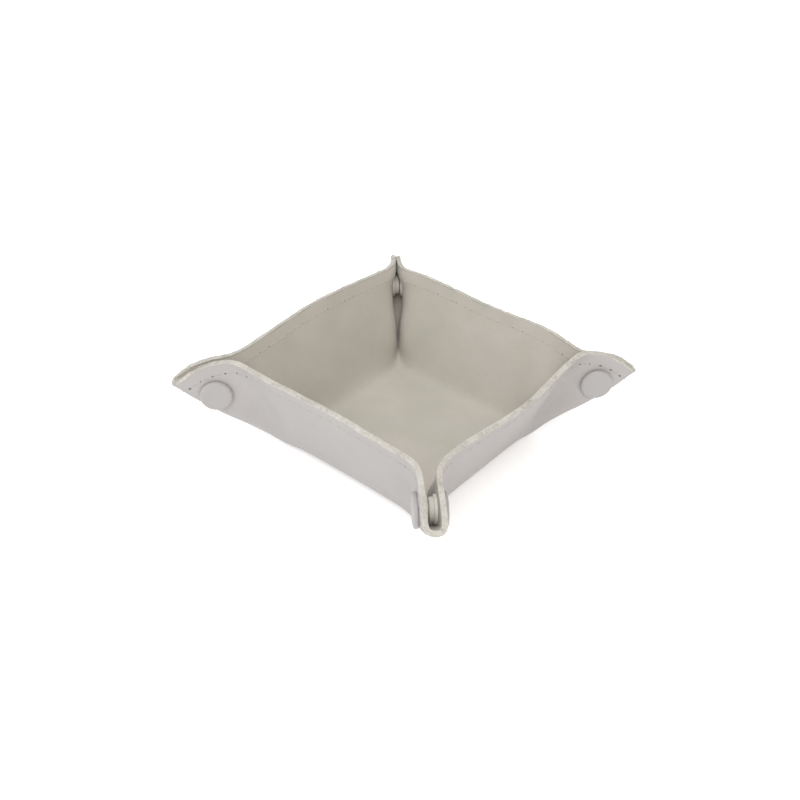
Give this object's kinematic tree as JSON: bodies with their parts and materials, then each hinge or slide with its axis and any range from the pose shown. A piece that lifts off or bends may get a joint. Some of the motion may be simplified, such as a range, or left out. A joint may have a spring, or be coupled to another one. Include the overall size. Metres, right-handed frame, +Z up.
{
  "type": "folding dice tray",
  "caption": "Square snap-up dice tray: a flexible lined sheet whose corners pinch outwards and fasten with press studs, and which opens out nearly flat.",
  "frame": {"origin": "middle of the underside of the base, on the surface that the tray stands on", "axes": "+Z up; +X towards the right wall and +Y towards the back wall; the tray is the same on all four sides"},
  "size_m": [0.1286, 0.1286, 0.0415],
  "materials": {
    "outer_leather": "matt fine-grained faux leather, pale lilac grey",
    "lining_suede": "short-napped suede lining, warm grey",
    "thread": "twisted sewing thread, cream",
    "snap_plastic": "moulded matt plastic, pale lilac grey"
  },
  "bodies": {
    "base": {"outer_base": "outer_leather", "lining_base": "lining_suede"},
    "wall_front": {"outer_wall_front": "outer_leather", "lining_wall_front": "lining_suede", "stitching_front": "thread"},
    "ear_front_left": {"outer_ear_front_left": "outer_leather", "lining_ear_front_left": "lining_suede", "snap_stud_front_left": "snap_plastic", "stud_cap_front_left": "snap_plastic"},
    "crease_front_left_strip": {"crease_front_left": "outer_leather"},
    "ear_front_right": {"outer_ear_front_right": "outer_leather", "lining_ear_front_right": "lining_suede", "snap_stud_front_right": "snap_plastic", "stud_cap_front_right": "snap_plastic"},
    "crease_front_right_strip": {"crease_front_right": "outer_leather"},
    "wall_right": {"outer_wall_right": "outer_leather", "lining_wall_right": "lining_suede", "stitching_right": "thread"},
    "ear_right_front": {"outer_ear_right_front": "outer_leather", "lining_ear_right_front": "lining_suede", "snap_socket_right_front": "snap_plastic", "socket_cap_right_front": "snap_plastic"},
    "crease_right_front_strip": {"crease_right_front": "outer_leather"},
    "ear_right_back": {"outer_ear_right_back": "outer_leather", "lining_ear_right_back": "lining_suede", "snap_socket_right_back": "snap_plastic", "socket_cap_right_back": "snap_plastic"},
    "crease_right_back_strip": {"crease_right_back": "outer_leather"},
    "wall_back": {"outer_wall_back": "outer_leather", "lining_wall_back": "lining_suede", "stitching_back": "thread"},
    "ear_back_right": {"outer_ear_back_right": "outer_leather", "lining_ear_back_right": "lining_suede", "snap_stud_back_right": "snap_plastic", "stud_cap_back_right": "snap_plastic"},
    "crease_back_right_strip": {"crease_back_right": "outer_leather"},
    "ear_back_left": {"outer_ear_back_left": "outer_leather", "lining_ear_back_left": "lining_suede", "snap_stud_back_left": "snap_plastic", "stud_cap_back_left": "snap_plastic"},
    "crease_back_left_strip": {"crease_back_left": "outer_leather"},
    "wall_left": {"outer_wall_left": "outer_leather", "lining_wall_left": "lining_suede", "stitching_left": "thread"},
    "ear_left_back": {"outer_ear_left_back": "outer_leather", "lining_ear_left_back": "lining_suede", "snap_socket_left_back": "snap_plastic", "socket_cap_left_back": "snap_plastic"},
    "crease_left_back_strip": {"crease_left_back": "outer_leather"},
    "ear_left_front": {"outer_ear_left_front": "outer_leather", "lining_ear_left_front": "lining_suede", "snap_socket_left_front": "snap_plastic", "socket_cap_left_front": "snap_plastic"},
    "crease_left_front_strip": {"crease_left_front": "outer_leather"}
  },
  "joints": [
    {"name": "wall_front_fold", "type": "hinge", "parent": "base", "child": "wall_front", "pos_m": [0, -0.033, 0.002], "axis": [1, 0, 0], "range_deg": [0, 63]},
    {"name": "ear_front_left_fold", "type": "hinge", "parent": "wall_front", "child": "ear_front_left", "pos_m": [-0.02894, -0.03488, 0.00132], "axis": [0.3236, 0.3236, -0.8891], "range_deg": [0, 43.62]},
    {"name": "crease_front_left_fold", "type": "hinge", "parent": "ear_front_left", "child": "crease_front_left_strip", "pos_m": [-0.03227, -0.03538, 0.00249], "axis": [-0.5673, -0.5673, 0.5969], "range_deg": [0, 81.1]},
    {"name": "ear_front_right_fold", "type": "hinge", "parent": "wall_front", "child": "ear_front_right", "pos_m": [0.02894, -0.03488, 0.00132], "axis": [0.3236, -0.3236, 0.8891], "range_deg": [0, 43.62]},
    {"name": "crease_front_right_fold", "type": "hinge", "parent": "ear_front_right", "child": "crease_front_right_strip", "pos_m": [0.03227, -0.03538, 0.00249], "axis": [-0.5673, 0.5673, -0.5969], "range_deg": [0, 81.1]},
    {"name": "wall_right_fold", "type": "hinge", "parent": "base", "child": "wall_right", "pos_m": [0.033, 0, 0.002], "axis": [0, 1, 0], "range_deg": [0, 63.1]},
    {"name": "ear_right_front_fold", "type": "hinge", "parent": "wall_right", "child": "ear_right_front", "pos_m": [0.03488, -0.02894, 0.00132], "axis": [-0.3236, 0.3236, -0.8891], "range_deg": [0, 43.62]},
    {"name": "crease_right_front_fold", "type": "hinge", "parent": "ear_right_front", "child": "crease_right_front_strip", "pos_m": [0.03538, -0.03227, 0.00249], "axis": [0.5673, -0.5673, 0.5969], "range_deg": [0, 81.1]},
    {"name": "ear_right_back_fold", "type": "hinge", "parent": "wall_right", "child": "ear_right_back", "pos_m": [0.03488, 0.02894, 0.00132], "axis": [0.3236, 0.3236, 0.8891], "range_deg": [0, 43.62]},
    {"name": "crease_right_back_fold", "type": "hinge", "parent": "ear_right_back", "child": "crease_right_back_strip", "pos_m": [0.03538, 0.03227, 0.00249], "axis": [-0.5673, -0.5673, -0.5969], "range_deg": [0, 81.1]},
    {"name": "wall_back_fold", "type": "hinge", "parent": "base", "child": "wall_back", "pos_m": [0, 0.033, 0.002], "axis": [-1, 0, 0], "range_deg": [0, 63.1]},
    {"name": "ear_back_right_fold", "type": "hinge", "parent": "wall_back", "child": "ear_back_right", "pos_m": [0.02894, 0.03488, 0.00132], "axis": [-0.3236, -0.3236, -0.8891], "range_deg": [0, 43.62]},
    {"name": "crease_back_right_fold", "type": "hinge", "parent": "ear_back_right", "child": "crease_back_right_strip", "pos_m": [0.03227, 0.03538, 0.00249], "axis": [0.5673, 0.5673, 0.5969], "range_deg": [0, 81.1]},
    {"name": "ear_back_left_fold", "type": "hinge", "parent": "wall_back", "child": "ear_back_left", "pos_m": [-0.02894, 0.03488, 0.00132], "axis": [-0.3236, 0.3236, 0.8891], "range_deg": [0, 43.62]},
    {"name": "crease_back_left_fold", "type": "hinge", "parent": "ear_back_left", "child": "crease_back_left_strip", "pos_m": [-0.03227, 0.03538, 0.00249], "axis": [0.5673, -0.5673, -0.5969], "range_deg": [0, 81.1]},
    {"name": "wall_left_fold", "type": "hinge", "parent": "base", "child": "wall_left", "pos_m": [-0.033, 0, 0.002], "axis": [0, -1, 0], "range_deg": [0, 63.1]},
    {"name": "ear_left_back_fold", "type": "hinge", "parent": "wall_left", "child": "ear_left_back", "pos_m": [-0.03488, 0.02894, 0.00132], "axis": [0.3236, -0.3236, -0.8891], "range_deg": [0, 43.62]},
    {"name": "crease_left_back_fold", "type": "hinge", "parent": "ear_left_back", "child": "crease_left_back_strip", "pos_m": [-0.03538, 0.03227, 0.00249], "axis": [-0.5673, 0.5673, 0.5969], "range_deg": [0, 81.1]},
    {"name": "ear_left_front_fold", "type": "hinge", "parent": "wall_left", "child": "ear_left_front", "pos_m": [-0.03488, -0.02894, 0.00132], "axis": [-0.3236, -0.3236, 0.8891], "range_deg": [0, 43.62]},
    {"name": "crease_left_front_fold", "type": "hinge", "parent": "ear_left_front", "child": "crease_left_front_strip", "pos_m": [-0.03538, -0.03227, 0.00249], "axis": [0.5673, 0.5673, -0.5969], "range_deg": [0, 81.1]}
  ],
  "couplings": [
    {"joint": "ear_front_left_fold", "follows": "wall_front_fold", "ratio": 0.69084},
    {"joint": "crease_front_left_fold", "follows": "wall_front_fold", "ratio": 1.2857},
    {"joint": "ear_front_right_fold", "follows": "wall_front_fold", "ratio": 0.69084},
    {"joint": "crease_front_right_fold", "follows": "wall_front_fold", "ratio": 1.2857},
    {"joint": "wall_right_fold", "follows": "wall_front_fold", "ratio": 1},
    {"joint": "ear_right_front_fold", "follows": "wall_front_fold", "ratio": 0.69084},
    {"joint": "crease_right_front_fold", "follows": "wall_front_fold", "ratio": 1.2857},
    {"joint": "ear_right_back_fold", "follows": "wall_front_fold", "ratio": 0.69084},
    {"joint": "crease_right_back_fold", "follows": "wall_front_fold", "ratio": 1.2857},
    {"joint": "wall_back_fold", "follows": "wall_front_fold", "ratio": 1},
    {"joint": "ear_back_right_fold", "follows": "wall_front_fold", "ratio": 0.69084},
    {"joint": "crease_back_right_fold", "follows": "wall_front_fold", "ratio": 1.2857},
    {"joint": "ear_back_left_fold", "follows": "wall_front_fold", "ratio": 0.69084},
    {"joint": "crease_back_left_fold", "follows": "wall_front_fold", "ratio": 1.2857},
    {"joint": "wall_left_fold", "follows": "wall_front_fold", "ratio": 1},
    {"joint": "ear_left_back_fold", "follows": "wall_front_fold", "ratio": 0.69084},
    {"joint": "crease_left_back_fold", "follows": "wall_front_fold", "ratio": 1.2857},
    {"joint": "ear_left_front_fold", "follows": "wall_front_fold", "ratio": 0.69084},
    {"joint": "crease_left_front_fold", "follows": "wall_front_fold", "ratio": 1.2857}
  ]
}
